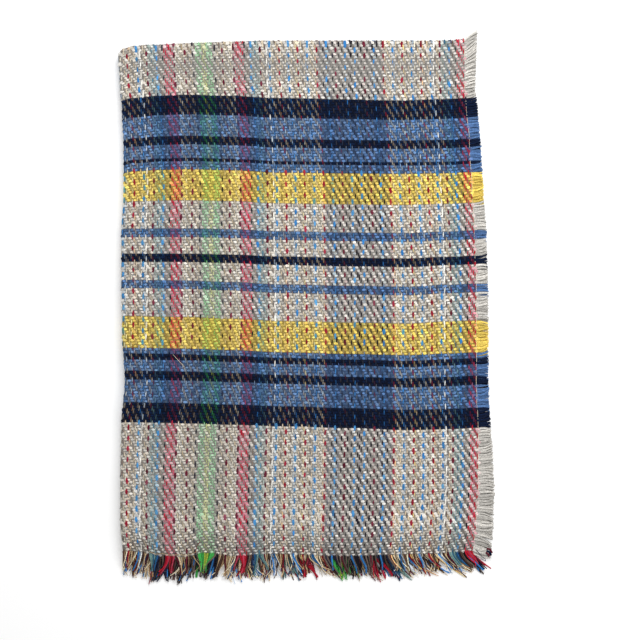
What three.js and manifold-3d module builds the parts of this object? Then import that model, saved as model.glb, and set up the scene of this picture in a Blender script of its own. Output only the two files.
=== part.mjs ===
// A woven wool throw, lying folded on a flat surface. Lengths are in millimetres, +Z is up.
// The throw was folded in half lengthwise, which puts a fold on the left, and that double
// cloth was then folded over at the top, which gives four layers with all hems at the bottom.
//
// A point of the flat throw is (across, along, out). across runs along the weft from the left
// fold line, below zero on the two outer layers and above it on the two inner ones. along runs
// with the warp from the top fold line, below zero on the upper pair of layers and above it on
// the lower pair. out is the height over the sheet's middle, on the side that faces outward.

import * as THREE from 'three';
import Module from 'manifold-3d';

// The flat throw
const CLOTH_WIDTH = 1122;
const CLOTH_LENGTH = 1640;
const CLOTH_THICKNESS = 3;

// The stack of layers
const LAYER_GAP = 1.2;
const LAYER_STEP = CLOTH_THICKNESS + LAYER_GAP;
const HALF_THICKNESS = CLOTH_THICKNESS / 2;
const SIDE_FOLD_RADIUS = LAYER_STEP / 2;
const INNER_TOP_RADIUS = LAYER_STEP / 2;
const STACK_MIDDLE = INNER_TOP_RADIUS + LAYER_STEP + HALF_THICKNESS;

// Half of the sheet lies on each side of a fold line
const HALF_WIDTH = CLOTH_WIDTH / 2;
const HALF_LENGTH = CLOTH_LENGTH / 2;
const SIDE_FOLD_REACH = (Math.PI / 2) * SIDE_FOLD_RADIUS;
const TOP_FOLD_REACH = (Math.PI / 2) * (INNER_TOP_RADIUS + LAYER_STEP);

// The size of the folded stack before its outline is made uneven
const FOLDED_WIDTH = SIDE_FOLD_RADIUS + HALF_THICKNESS + HALF_WIDTH - SIDE_FOLD_REACH;
const FOLDED_LENGTH = STACK_MIDDLE + HALF_LENGTH - TOP_FOLD_REACH;

// Fringes: a fused strip outside the cloth's edge, with flat locks of yarn that stand on it
const SEAM_GAP = 0.3;
const STRIP_WIDTH = 7;
const STRIP_INNER_FACE = 1.2;
const LOCK_INNER_FACE = 0.8;
const LOCK_ROOT_DEPTH = 3;
const END_FRINGE = { length: 32, pitch: 18.5, rootWidth: 14, tipWidth: 7, clearOfFold: 7, steps: 2 };
const SIDE_FRINGE = { length: 20, pitch: 27, rootWidth: 22, tipWidth: 15, clearOfFold: 10, steps: 1 };
const FOLD_LOCK = { length: 16, rootWidth: 8, tipWidth: 4, steps: 1 };
const CORNER_MARGIN = 4;

// How far the lengths, widths and slants of the locks vary, as a share of their size
const LENGTH_SPREAD = 0.12;
const WIDTH_SPREAD = 0.12;
const SLANT_SPREAD = 0.16;

// The uneven side edges, from the hem up: how far the left and right edges lie to the right
const SIDE_EDGES = [
  { up: 0, left: 2.4, right: -1.6 },
  { up: 37, left: -1.6, right: 3.2 },
  { up: 117, left: -1.6, right: 7.2 },
  { up: 197, left: 0, right: 7.2 },
  { up: 269, left: 5.6, right: 4 },
  { up: 345, left: 1.6, right: 4 },
  { up: 421, left: 0, right: 4 },
  { up: 501, left: 0, right: 1.6 },
  { up: 581, left: 4, right: -3.2 },
  { up: 645, left: 4, right: -6.4 },
  { up: 709, left: 1.6, right: -11.2 },
  { up: 757, left: -2.4, right: -15.2 },
  { up: 818, left: -4.8, right: -15.2 },
];

// The uneven hem and top fold, from the left: how far each lies above its straight line
const END_EDGES = [
  { right: 0, hem: 6.4, top: -19 },
  { right: 9, hem: 5.6, top: -12.8 },
  { right: 28, hem: 3.2, top: -8 },
  { right: 60, hem: -3.2, top: -6.4 },
  { right: 100, hem: -4, top: -4.8 },
  { right: 135, hem: 1.6, top: -3.2 },
  { right: 180, hem: -3.2, top: -1.6 },
  { right: 244, hem: 0, top: 0 },
  { right: 356, hem: -3.2, top: 0 },
  { right: 492, hem: 0, top: 0 },
  { right: 538, hem: 2.4, top: 1.6 },
  { right: 561, hem: 4.8, top: 6.4 },
];

// How steeply the side fringe points up, from the hem up: rise for each millimetre out
const SIDE_FRINGE_RISE = [
  { up: 0, rise: -0.35 },
  { up: 60, rise: -0.1 },
  { up: 140, rise: 0.2 },
  { up: 420, rise: 0.25 },
  { up: 700, rise: 0.3 },
  { up: 790, rise: 0.5 },
  { up: 818, rise: 0.75 },
];

// How far the end fringe sweeps to the right, from the left: sweep for each millimetre down
const END_FRINGE_SWEEP = [
  { right: 0, sweep: 0.05 },
  { right: 120, sweep: -0.08 },
  { right: 300, sweep: 0 },
  { right: 440, sweep: 0.28 },
  { right: 561, sweep: 0.5 },
];

// Height of the stack: fuller at its folds, lower at its open edges, drooping past them
const SIDE_FOLD_FULLNESS = { rise: 0.1, reach: 34 };
const TOP_FOLD_FULLNESS = { rise: 0.14, reach: 40 };
const OPEN_EDGE_SAG = { drop: 0.09, reach: 60 };
const END_FRINGE_DROOP = { drop: 0.5, reach: 30 };
const SIDE_FRINGE_DROOP = { drop: 0.42, reach: 22 };
const RIPPLE = { rise: 0.035, acrossWave: 310, alongWave: 390 };

// Steps of the meshes
const FOLD_STEPS = 6;
const ACROSS_STEPS = 12;
const ALONG_STEPS = 13;
const STEP_GROWTH = 1.35;

const wasm = await Module();
wasm.setup();

function softStep(from, to, value) {
  const t = Math.min(Math.max((value - from) / (to - from), 0), 1);
  return t * t * (3 - 2 * t);
}

// Reads a column of a table at a place between its rows, changing softly from row to row.
function readTable(table, place, column, at) {
  const next = table.findIndex((row) => row[place] >= at);
  if (next === 0) return table[0][column];
  if (next < 0) return table[table.length - 1][column];
  const before = table[next - 1];
  const after = table[next];
  const t = softStep(before[place], after[place], at);
  return before[column] + (after[column] - before[column]) * t;
}

// A repeatable number between -1 and 1 for one lock of a fringe.
function uneven(index, salt) {
  const wave = Math.sin(index * 12.9898 + salt * 78.233) * 43758.5453;
  return 2 * (wave - Math.floor(wave)) - 1;
}

// Folds the sheet lengthwise: x to the right, and the radius that the layer has at the top fold.
function foldSide(across, out) {
  const foldCentre = SIDE_FOLD_RADIUS + HALF_THICKNESS;
  const middleRadius = INNER_TOP_RADIUS + SIDE_FOLD_RADIUS;
  const turn = THREE.MathUtils.clamp(across / SIDE_FOLD_RADIUS, -Math.PI / 2, Math.PI / 2);
  const straight = Math.max(Math.abs(across) - SIDE_FOLD_REACH, 0);
  const spread = SIDE_FOLD_RADIUS + out;
  return {
    x: foldCentre + straight - spread * Math.cos(turn),
    sheetRadius: middleRadius - SIDE_FOLD_RADIUS * Math.sin(turn),
    radius: middleRadius - spread * Math.sin(turn),
  };
}

// Folds the double cloth over at the top: y up the folded throw and z above the surface.
function foldTop(along, sheetRadius, radius) {
  const turn = THREE.MathUtils.clamp(along / sheetRadius, -Math.PI / 2, Math.PI / 2);
  const straight = Math.max(Math.abs(along) - (Math.PI / 2) * sheetRadius, 0);
  const foldCentre = FOLDED_LENGTH - STACK_MIDDLE;
  return {
    y: foldCentre - straight + radius * Math.cos(turn),
    z: STACK_MIDDLE - radius * Math.sin(turn),
  };
}

// How high the stack is at a place, as a share of its plain height.
function stackHeight(x, y) {
  const fromTop = FOLDED_LENGTH - y;
  const fromRight = FOLDED_WIDTH - x;
  const sideFold = SIDE_FOLD_FULLNESS.rise * (1 - softStep(0, SIDE_FOLD_FULLNESS.reach, x));
  const topFold = TOP_FOLD_FULLNESS.rise * (1 - softStep(0, TOP_FOLD_FULLNESS.reach, fromTop));
  const hemSag = OPEN_EDGE_SAG.drop * (1 - softStep(0, OPEN_EDGE_SAG.reach, y));
  const sideSag = OPEN_EDGE_SAG.drop * (1 - softStep(0, OPEN_EDGE_SAG.reach, fromRight));
  const ripple = RIPPLE.rise
    * Math.sin((2 * Math.PI * x) / RIPPLE.acrossWave + y / RIPPLE.alongWave)
    * Math.cos((2 * Math.PI * y) / RIPPLE.alongWave);
  const endDroop = 1 - END_FRINGE_DROOP.drop * softStep(0, END_FRINGE_DROOP.reach, -y);
  const sideDroop = 1 - SIDE_FRINGE_DROOP.drop * softStep(0, SIDE_FRINGE_DROOP.reach, -fromRight);
  return (1 + sideFold + topFold - hemSag - sideSag + ripple) * endDroop * sideDroop;
}

// Gives the straight folded stack its uneven edges, soft height and swept fringes.
function drape(x, y, z) {
  const pastEdge = Math.max(x - FOLDED_WIDTH, 0);
  const pastHem = Math.max(-y, 0);
  const swept = x + pastHem * readTable(END_FRINGE_SWEEP, 'right', 'sweep', x);
  const risen = y + pastEdge * readTable(SIDE_FRINGE_RISE, 'up', 'rise', y);
  const left = readTable(SIDE_EDGES, 'up', 'left', y);
  const right = readTable(SIDE_EDGES, 'up', 'right', y);
  const hem = readTable(END_EDGES, 'right', 'hem', x);
  const top = readTable(END_EDGES, 'right', 'top', x);
  const toRight = THREE.MathUtils.clamp(x / FOLDED_WIDTH, 0, 1);
  const toTop = softStep(0, FOLDED_LENGTH, y);
  return new THREE.Vector3(
    swept + left + (right - left) * toRight,
    risen + hem + (top - hem) * toTop,
    z * stackHeight(x, y),
  );
}

function sheetPoint(across, along, out) {
  const section = foldSide(across, out);
  const place = foldTop(along, section.sheetRadius, section.radius);
  return drape(section.x, place.y, place.z);
}

// Even places on a fold, from its middle to where it ends.
function foldStations(foldReach) {
  const steps = FOLD_STEPS / 2;
  return Array.from({ length: steps + 1 }, (_, i) => (foldReach * i) / steps);
}

// Places on the flat of the sheet, wider and wider apart, that stop short of the corner.
function flatStations(foldReach, edge, steps) {
  const flat = edge - CORNER_MARGIN - foldReach;
  return Array.from({ length: steps }, (_, i) => foldReach + flat * ((i + 1) / steps) ** STEP_GROWTH);
}

function bothHalves(stations) {
  const mirrored = stations.slice(1).reverse().map((station) => -station);
  return [...mirrored, ...stations];
}

function acrossStations() {
  const fold = foldStations(SIDE_FOLD_REACH);
  return bothHalves([...fold, ...flatStations(SIDE_FOLD_REACH, HALF_WIDTH, ACROSS_STEPS)]);
}

// The top fold bends its four layers at two radii, so both of their ends get a station.
function alongStations() {
  const innerReach = (Math.PI / 2) * INNER_TOP_RADIUS;
  const innerFold = foldStations(innerReach);
  const outerFold = [1, 2].map((i) => innerReach + ((TOP_FOLD_REACH - innerReach) * i) / 2);
  const flat = flatStations(TOP_FOLD_REACH, HALF_LENGTH, ALONG_STEPS);
  return bothHalves([...innerFold, ...outerFold, ...flat]);
}

// A closed slab over a grid of places, with an outer and an inner face.
// pointAt(u, v, face) gives a corner, and face is 1 on the outer side and 0 on the inner one.
function slab(us, vs, pointAt) {
  const positions = [];
  const indices = [];
  us.forEach((u) => vs.forEach((v) => [0, 1].forEach((face) => {
    positions.push(...pointAt(u, v, face).toArray());
  })));
  const corner = (i, j, face) => (i * vs.length + j) * 2 + face;
  const quad = (a, b, c, d) => indices.push(a, b, c, a, c, d);
  const lastU = us.length - 1;
  const lastV = vs.length - 1;
  for (let i = 0; i < lastU; i += 1) {
    for (let j = 0; j < lastV; j += 1) {
      quad(corner(i, j, 1), corner(i, j + 1, 1), corner(i + 1, j + 1, 1), corner(i + 1, j, 1));
      quad(corner(i, j, 0), corner(i + 1, j, 0), corner(i + 1, j + 1, 0), corner(i, j + 1, 0));
    }
    quad(corner(i, 0, 0), corner(i, 0, 1), corner(i + 1, 0, 1), corner(i + 1, 0, 0));
    quad(corner(i, lastV, 0), corner(i + 1, lastV, 0), corner(i + 1, lastV, 1), corner(i, lastV, 1));
  }
  for (let j = 0; j < lastV; j += 1) {
    quad(corner(0, j, 0), corner(0, j + 1, 0), corner(0, j + 1, 1), corner(0, j, 1));
    quad(corner(lastU, j, 0), corner(lastU, j, 1), corner(lastU, j + 1, 1), corner(lastU, j + 1, 0));
  }
  const geometry = new THREE.BufferGeometry();
  geometry.setAttribute('position', new THREE.Float32BufferAttribute(positions, 3));
  geometry.setIndex(indices);
  return faceOutward(geometry);
}

// Turns all faces over when they point into the body.
function faceOutward(geometry) {
  const position = geometry.attributes.position;
  const index = geometry.index;
  const corners = [new THREE.Vector3(), new THREE.Vector3(), new THREE.Vector3()];
  let volume = 0;
  for (let i = 0; i < index.count; i += 3) {
    corners.forEach((corner, k) => corner.fromBufferAttribute(position, index.getX(i + k)));
    volume += corners[0].dot(corners[1].cross(corners[2]));
  }
  if (volume < 0) geometry.setIndex(Array.from(index.array).reverse());
  return geometry;
}

function clothGeometry() {
  const acrossPlaces = [-HALF_WIDTH, ...acrossStations(), HALF_WIDTH];
  const alongPlaces = [-HALF_LENGTH, ...alongStations(), HALF_LENGTH];
  return slab(acrossPlaces, alongPlaces, (across, along, face) => (
    sheetPoint(across, along, face ? HALF_THICKNESS : -HALF_THICKNESS)
  ));
}

// Joins the strip of a fringe and its locks into one closed body.
function fuse(geometries) {
  const bodies = geometries.map((geometry) => new wasm.Manifold(new wasm.Mesh({
    numProp: 3,
    vertProperties: geometry.attributes.position.array,
    triVerts: new Uint32Array(geometry.index.array),
  })));
  const joined = bodies.reduce((whole, body) => whole.add(body)).getMesh();
  const geometry = new THREE.BufferGeometry();
  geometry.setAttribute('position', new THREE.BufferAttribute(joined.vertProperties, 3));
  geometry.setIndex(new THREE.BufferAttribute(joined.triVerts, 1));
  return geometry;
}

// Where the locks of a fringe stand along one half of its strip.
function lockPlaces(fringe, end) {
  const first = fringe.clearOfFold + fringe.pitch / 2;
  const last = end - fringe.rootWidth / 2;
  const count = Math.round((last - first) / fringe.pitch);
  return Array.from({ length: count + 1 }, (_, i) => first + ((last - first) * i) / count);
}

// One flat lock, narrower and a little slanted towards its tip.
// pointAt(beside, beyond, out) takes the place beside the fold and the distance past the edge.
function lockGeometry(fringe, place, salt, pointAt) {
  const length = fringe.length * (1 + LENGTH_SPREAD * uneven(place, salt));
  const width = 1 + WIDTH_SPREAD * uneven(place, salt + 1);
  const slant = SLANT_SPREAD * uneven(place, salt + 2);
  const root = SEAM_GAP + STRIP_WIDTH - LOCK_ROOT_DEPTH;
  const steps = Array.from({ length: fringe.steps + 1 }, (_, i) => i / fringe.steps);
  return slab([-1, 1], steps, (side, toTip, face) => {
    const beyond = root + (length - root) * toTip;
    const halfWidth = (width * THREE.MathUtils.lerp(fringe.rootWidth, fringe.tipWidth, toTip)) / 2;
    const beside = place + slant * (beyond - root) + side * halfWidth;
    return pointAt(beside, beyond, face ? HALF_THICKNESS : -LOCK_INNER_FACE);
  });
}

// A strip along an edge, with a row of locks on each of the two layers that it closes.
function fringePieces(fringe, stations, salt, pointAt) {
  const end = stations[stations.length - 1];
  const strip = slab(stations, [SEAM_GAP, SEAM_GAP + STRIP_WIDTH], (place, beyond, face) => (
    pointAt(place, beyond, face ? HALF_THICKNESS : -STRIP_INNER_FACE)
  ));
  const locks = [-1, 1].flatMap((half) => lockPlaces(fringe, end).map((place) => (
    lockGeometry(fringe, place, salt * half, (beside, beyond, out) => (
      pointAt(half * beside, beyond, out)
    ))
  )));
  return [strip, ...locks];
}

// The warp fringe past one end of the throw, on the two layers that meet at the left fold.
// pack is -1 for the end of the upper pair of layers and 1 for the end of the lower pair.
function endFringeGeometry(pack) {
  const pointAt = (across, beyond, out) => sheetPoint(across, pack * (HALF_LENGTH + beyond), out);
  return fuse(fringePieces(END_FRINGE, acrossStations(), 10 + pack, pointAt));
}

// The weft ends past one selvedge, on the two layers that meet at the top fold.
// layer is -1 for the selvedge of the two outer layers and 1 for that of the inner two.
function sideFringeGeometry(layer) {
  const pointAt = (along, beyond, out) => sheetPoint(layer * (HALF_WIDTH + beyond), along, out);
  const pieces = fringePieces(SIDE_FRINGE, alongStations(), 20 + layer, pointAt);
  if (layer < 0) pieces.push(lockGeometry(FOLD_LOCK, 0, 0, pointAt));
  return fuse(pieces);
}

function wool(color) {
  return new THREE.MeshStandardMaterial({ color, roughness: 0.95, metalness: 0 });
}

const PIECES = [
  { name: 'cloth', geometry: clothGeometry(), color: 0xb4aca4 },
  { name: 'end_fringe_upper', geometry: endFringeGeometry(-1), color: 0x9a6a5c },
  { name: 'end_fringe_lower', geometry: endFringeGeometry(1), color: 0x55707f },
  { name: 'side_fringe_outer', geometry: sideFringeGeometry(-1), color: 0xcfc4b2 },
  { name: 'side_fringe_inner', geometry: sideFringeGeometry(1), color: 0xd7c07a },
];

// The origin is at the middle of the whole throw's footprint, on the surface that it lies on.
const footprint = new THREE.Box3();
PIECES.forEach(({ geometry }) => {
  geometry.computeBoundingBox();
  footprint.union(geometry.boundingBox);
});
const middle = footprint.getCenter(new THREE.Vector3());

const woolThrow = new THREE.Group();
PIECES.forEach(({ name, geometry, color }) => {
  geometry.translate(-middle.x, -middle.y, 0);
  const mesh = new THREE.Mesh(geometry, wool(color));
  mesh.name = name;
  woolThrow.add(mesh);
});

export default woolThrow;
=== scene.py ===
"""A wool throw in striped and banded twill, folded twice and seen from straight above.

The throw is woven from thick woollen yarn. Its warp is striped in many colours and its weft is
a grey oatmeal with navy, denim blue and yellow bands. It was folded in half lengthwise and then
over at the top. A point of the flat throw is (across, along, out), in millimetres: across runs
along the weft from the left fold line, along runs with the warp from the top fold line, and out
is the height over the sheet's middle on the side that faces outward.
"""

import math

import bpy
import numpy as np
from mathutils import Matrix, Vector


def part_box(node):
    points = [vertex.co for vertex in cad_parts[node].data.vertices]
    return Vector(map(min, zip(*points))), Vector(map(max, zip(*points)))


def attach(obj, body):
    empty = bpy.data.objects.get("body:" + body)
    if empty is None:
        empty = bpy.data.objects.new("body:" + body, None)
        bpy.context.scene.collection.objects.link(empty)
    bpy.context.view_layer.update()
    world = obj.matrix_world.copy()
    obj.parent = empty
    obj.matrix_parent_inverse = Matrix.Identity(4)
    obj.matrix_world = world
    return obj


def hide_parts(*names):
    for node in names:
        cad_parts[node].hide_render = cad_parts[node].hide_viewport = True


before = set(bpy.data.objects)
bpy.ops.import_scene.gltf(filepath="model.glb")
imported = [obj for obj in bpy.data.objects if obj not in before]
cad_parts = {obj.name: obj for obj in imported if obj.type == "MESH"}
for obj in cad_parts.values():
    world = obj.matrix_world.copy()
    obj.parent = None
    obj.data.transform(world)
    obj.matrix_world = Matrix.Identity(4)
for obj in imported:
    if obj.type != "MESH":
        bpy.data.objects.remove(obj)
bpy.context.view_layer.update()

bl_info = {
    "name": "Folded wool throw",
    "version": (1, 0, 0),
    "blender": (4, 5, 0),
    "location": "3D View > Sidebar > Wool throw",
    "description": "Builds a folded throw of striped woollen twill, yarn by yarn",
    "category": "Object",
}

MM = 0.001
MATH = "ShaderNodeMath"

# Yarn colours, as sRGB hex values
YARNS = {
    "black": "16131c",
    "charcoal": "232640",
    "grey": "5c5048",
    "taupe": "4c352b",
    "tan": "a08864",
    "oat": "c8ae88",
    "cream": "e9dcc0",
    "white": "f6f1e6",
    "straw": "e8c877",
    "peach": "e6ae78",
    "red": "84182a",
    "maroon": "5a1a2a",
    "crimson": "a2162a",
    "rose": "a83c50",
    "blue": "3074b4",
    "pale_blue": "94aac2",
    "petrol": "2a5670",
    "seafoam": "688682",
    "green": "3f9f4b",
    "olive": "96a83e",
    "oatmeal": "d6d2cb",
    "navy": "071632",
    "denim": "5374a3",
    "yellow": "f5d769",
}

# The share of a warp float that the weft's raised fibres hide, and the yarns where it differs
NAP = 0.36
NAP_OVER = {
    "white": 0.06, "red": 0.1, "maroon": 0.12, "black": 0.16, "blue": 0.16, "crimson": 0.14,
    "rose": 0.2, "petrol": 0.3, "seafoam": 0.42, "olive": 0.45, "green": 0.48,
}

# How much more the dark wefts' fibres hide, and the share of that on a smooth yarn
NAP_OF = {"navy": 0.36, "denim": 0.24}
NAP_OF_ON_SMOOTH = 0.4

# The nap is raised most near the left fold, and there the weft also takes on more of the warp's
# tint, which makes the cloth darker towards the left
NAP_PLACES = {
    "right": (0, 290, 400, 561),
    "share": (1.5, 1.35, 0.8, 0.5),
    "tint": (0.13, 0.12, 0.08, 0.06),
}

# Smooth yarns lie clear of the nap, bold ones nearly so, and the stripes' yarns tint the weft
SMOOTH_YARNS = ("red", "maroon", "blue", "white")
BOLD_YARNS = ("crimson", "rose", "petrol", "black")
STRIPE_YARNS = ("crimson", "rose", "green", "olive", "petrol", "seafoam")

# How deep a warp float's rim lies under the face of the sheet, and how wide it is against a plain
# one, both by the kind of its yarn
WARP_FLOAT_DEPTH = {"smooth": 0.2, "bold": 0.35, "other": 0.5}
WARP_FLOAT_GIRTH = {"white": 0.92, "smooth": 1.7, "bold": 1.15, "other": 0.82}
WHITE_FLOAT_STRETCH = 1.3
SMOOTH_FLOAT_SWELL = 1.15

# Floats: width and length in thread pitches, then how far the crown rises and the rim dips
WARP_FLOAT = {"width": 1.1, "length": 2.35, "rise": 0.74, "dip": 0.3}
WEFT_FLOAT = {"width": 1.3, "length": 2.7, "rise": 0.82, "dip": 0.5}
FLOAT_TAPER = 0.45
FLOAT_SIZES = ((0.8, 0.82, 0.75), (1.16, 1.14, 1.25))
WEFT_FLOAT_DEPTH = 0.3

# How uneven the floats are: off their places, in the way they point and in lightness
FLOAT_SCATTER = {"along": 0.4, "across": 0.3, "out": 0.1}
WARP_LEAN, WEFT_LEAN = 0.08, 0.16
WARP_HEATHER, WEFT_HEATHER, DENIM_HEATHER = 0.14, 0.17, 0.38

# How uneven the nap and the tint are, how much more a stripe tints the weft, and how much less
# of the tint shows on navy
NAP_SPREAD, NAP_RANGE = 0.1, (0.02, 0.7)
TINT_SPREAD, TINT_RANGE = 0.06, (0, 0.3)
STRIPE_TINT = 0.05
TINT_ON_NAVY = 0.35

# The warp, end by end, from the middle of a dark stripe to the middle of the next green one
WARP_CHART = (
    "black black grey blue grey black grey black grey maroon grey black grey charcoal black "
    "blue charcoal black grey charcoal grey red peach cream oat oat cream blue pale_blue oat "
    "taupe oat cream red straw oat taupe oat cream blue pale_blue cream taupe oat cream red "
    "peach oat taupe oat cream blue pale_blue white taupe oat oat maroon seafoam seafoam "
    "petrol seafoam petrol blue charcoal taupe grey black crimson crimson rose crimson crimson "
    "rose maroon cream oat cream tan tan oat maroon tan taupe oat tan black grey green green "
    "green green olive olive"
).split()

# The weft, counted in picks from the hem to the top fold
WEFT_CHART = (
    ("oatmeal", 48), ("navy", 7), ("denim", 8), ("navy", 3), ("denim", 4), ("navy", 2),
    ("denim", 2), ("yellow", 11), ("oatmeal", 10), ("denim", 3), ("oatmeal", 7), ("navy", 3),
    ("oatmeal", 6), ("denim", 3), ("oatmeal", 10), ("yellow", 11), ("denim", 3), ("navy", 1),
    ("denim", 5), ("navy", 3), ("denim", 8), ("navy", 7), ("oatmeal", 21),
)

# Threads in a repeat of the twill, which goes two over and two under
TWILL_REPEAT = 4

# Ends from the left fold line to the middle of the dark stripe
FOLD_TO_DARK_STRIPE = 144

# Where the picks lie, from the hem to the top fold: they are beaten closer near the hem
PICK_PLACES = {"pick": (0, 48, 186), "up": (0, 204, 820)}

# How far the warp has slid round the left fold, and the share of it that each end takes
FOLD_DRIFT = {
    "up": (0, 85, 165, 290, 405, 549, 680, 792, 820),
    "drift": (0.6, 1.2, 2, 6, 10, 8.5, 6.5, 4.8, 4.6),
}
DRIFT_SHARE = {
    "right": (-250, 0, 80, 135, 190, 240, 300, 372, 561),
    "share": (0, 1, 1.15, 1, 0.75, 0.65, 0.42, 0.3, 0),
}

# The uneven side edges, from the hem up: how far the left and right edges lie to the right
SIDE_EDGES = {
    "up": (0, 37, 117, 197, 269, 345, 421, 501, 581, 645, 709, 757, 818),
    "left": (2.4, -1.6, -1.6, 0, 5.6, 1.6, 0, 0, 4, 4, 1.6, -2.4, -4.8),
    "right": (-1.6, 3.2, 7.2, 7.2, 4, 4, 4, 1.6, -3.2, -6.4, -11.2, -15.2, -15.2),
}

# The uneven hem and top fold, from the left
END_EDGES = {
    "right": (0, 9, 28, 60, 100, 135, 180, 244, 356, 492, 538, 561),
    "hem": (6.4, 5.6, 3.2, -3.2, -4, 1.6, -3.2, 0, -3.2, 0, 2.4, 4.8),
    "top": (-19, -12.8, -8, -6.4, -4.8, -3.2, -1.6, 0, 0, 0, 0.5, 2.5),
}

# How far the weft bows up at heights between them
WEFT_BOW = {
    "right": (0, 17, 60, 105, 170, 255, 360, 452, 518, 561),
    205: (6, 6, 5, 4, 2, -0.5, -3.5, -6.5, -5, -3),
    405: (10, 9.7, 9, 8.3, 5.8, 1.6, -0.6, -2, 1.5, 3),
    478: (5.5, 6, 6, 5.8, 4.6, 1.4, -0.6, -1.7, 1.1, 2.7),
    630: (0, 3, 5.5, 6.4, 5, 1, 0, -0.7, 0, 2),
    717: (-5, -1, 3, 4.5, 3, -1, -3, -5, -3, -1),
}

# The side fringe from the hem up: how far it points up for each millimetre out, and its reach
SIDE_FRINGE = {
    "up": (0, 60, 140, 210, 420, 500, 700, 735, 765, 818),
    "rise": (-0.4, -0.12, 0.05, 0.08, 0.06, 0.18, 0.12, 0.16, 0.5, 0.8),
    "reach": (1.5, 1.45, 1.28, 1.05, 1, 1, 0.92, 0.86, 1, 1.1),
}

# Pale weft ends look darker where they stand loose, as shade shows between them
PALE_TAILS = ("oatmeal", "yellow")
PALE_TAIL_SHADE = 0.8

# The loose weft ends of a pick, their radius at root and tip, and how they bend to and fro
STRANDS_PER_PICK = 2
SIDE_RADII = (1.12, 0.9)
SIDE_WAVE = {"depth": 0.36, "reach": 9, "drift_reach": 31, "spread": 0.1}

# How far the end fringe sweeps to the right: sweep for each millimetre down
END_FRINGE_SWEEP = {
    "right": (0, 70, 125, 165, 195, 240, 290, 320, 345, 400, 448, 512, 561),
    "sweep": (-0.1, -0.35, -0.1, -0.3, 0, 0.15, 0.4, 0.8, 0.3, 0.4, 0.75, 0.95, 0.95),
}

# Height of the stack: fuller at its folds, lower at its open edges, drooping past them
SIDE_FOLD_FULLNESS = (0.1, 34)
TOP_FOLD_FULLNESS = (0.14, 40)
OPEN_EDGE_SAG = (0.09, 60)
END_FRINGE_DROOP = (0.5, 30)
SIDE_FRINGE_DROOP = (0.42, 22)
RIPPLE = {"rise": 0.035, "across_wave": 310, "along_wave": 390}

# Loose threads: the yarn, its radius, how far it lies out, and its places right of the left
# edge and up from the hem
LOOSE_THREADS = (
    ("cream", 0.3, 0.7, ((79, 311), (86, 303), (96, 292))),
    ("cream", 0.28, 0.7, ((63, 525), (71, 521), (80, 513))),
    ("red", 0.4, 0.7, ((116, 3), (119, 12), (126, 21))),
    ("oat", 0.36, 0.5, ((42, 4), (52, 2.5), (64, 4), (76, 2), (90, 3), (104, 2), (120, 5))),
    ("charcoal", 0.5, 0.2, ((566, 4), (573, -1), (578, -8), (575, -14), (569, -11))),
    ("maroon", 1.8, 0.2, ((583, 11), (588, 12), (592, 8))),
    ("navy", 1.8, 0.4, ((583, 8), (588, 8), (591, 4))),
    ("maroon", 1.7, 0, ((582, 5), (586, 4), (588, 1))),
    ("navy", 1.5, -3, ((552, -6), (556, -20), (557, -38))),
    ("blue", 1.4, -2, ((549, -6), (553, -22), (554, -40))),
    ("maroon", 1.4, -3, ((554, -4), (560, -14), (562, -26))),
)

# The thread along the selvedge: its yarn, radius, place out, inset and unevenness
SELVEDGE_THREAD = {"yarn": "cream", "radius": 0.32, "out": -0.5, "inset": 0.2, "spread": 0.5}
THREAD_POINTS = 61

# Warp yarns that are thinner and curl where they hang loose, and their radii at root and tip
THIN_YARNS = ("white", "cream", "oat", "straw", "tan", "peach", "pale_blue")
THIN_CURL, THICK_CURL = 0.36, 0.1
THIN_RADII, THICK_RADII = (0.85, 0.55), (1.55, 0.85)

# The end fringes: their reach against the fringe length, the share of ends that start a new lock,
# the share of thin ends that lie on top, and how far those rise and the other thin ones sink
END_FRINGE_REACH = {"upper": 0.97, "lower": 1.14}
NEW_LOCK = 1 / 3
ON_TOP = 0.35
ON_TOP_RISE, THIN_SINK = 0.9, 0.35

# How much drawn-in locks lean, and how much loose yarns differ in length, in their two fringes
END_LOCKS = {"drawn_in": 0.85, "lean": 0.15, "unevenness": 0.08}
SIDE_LOCKS = {"drawn_in": 0.5, "lean": 0.05, "unevenness": 0.03}
LOOSE_HEATHER = {"warp": 0.26, "weft": 0.2}
FRINGE_POINTS = 7
STRAND_SIDES = 5

# Where the photo's frame lies on the surface: its middle and its width, in millimetres
VIEW_MIDDLE = (23.5, -20.4)
VIEW_WIDTH = 1024


def linear(hex_colour):
    """A linear colour with alpha from an sRGB hex value."""
    channels = [int(hex_colour[i : i + 2], 16) / 255 for i in (0, 2, 4)]
    return [c / 12.92 if c <= 0.04045 else ((c + 0.055) / 1.055) ** 2.4 for c in channels] + [1.0]


def soft_step(start, end, value):
    t = np.clip((value - start) / (end - start), 0, 1)
    return t * t * (3 - 2 * t)


def read_table(table, place, column, at):
    """A column of a table at places between its rows, changing softly from row to row."""
    places = np.array(table[place], float)
    values = np.array(table[column], float)
    after = np.clip(np.searchsorted(places, at), 1, len(places) - 1)
    t = soft_step(places[after - 1], places[after], at)
    return values[after - 1] + (values[after] - values[after - 1]) * t


def every_pair(first, second):
    """Every value of one row with every value of another, as two flat arrays."""
    return [grid.ravel() for grid in np.meshgrid(first, second, indexing="ij")]


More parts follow.
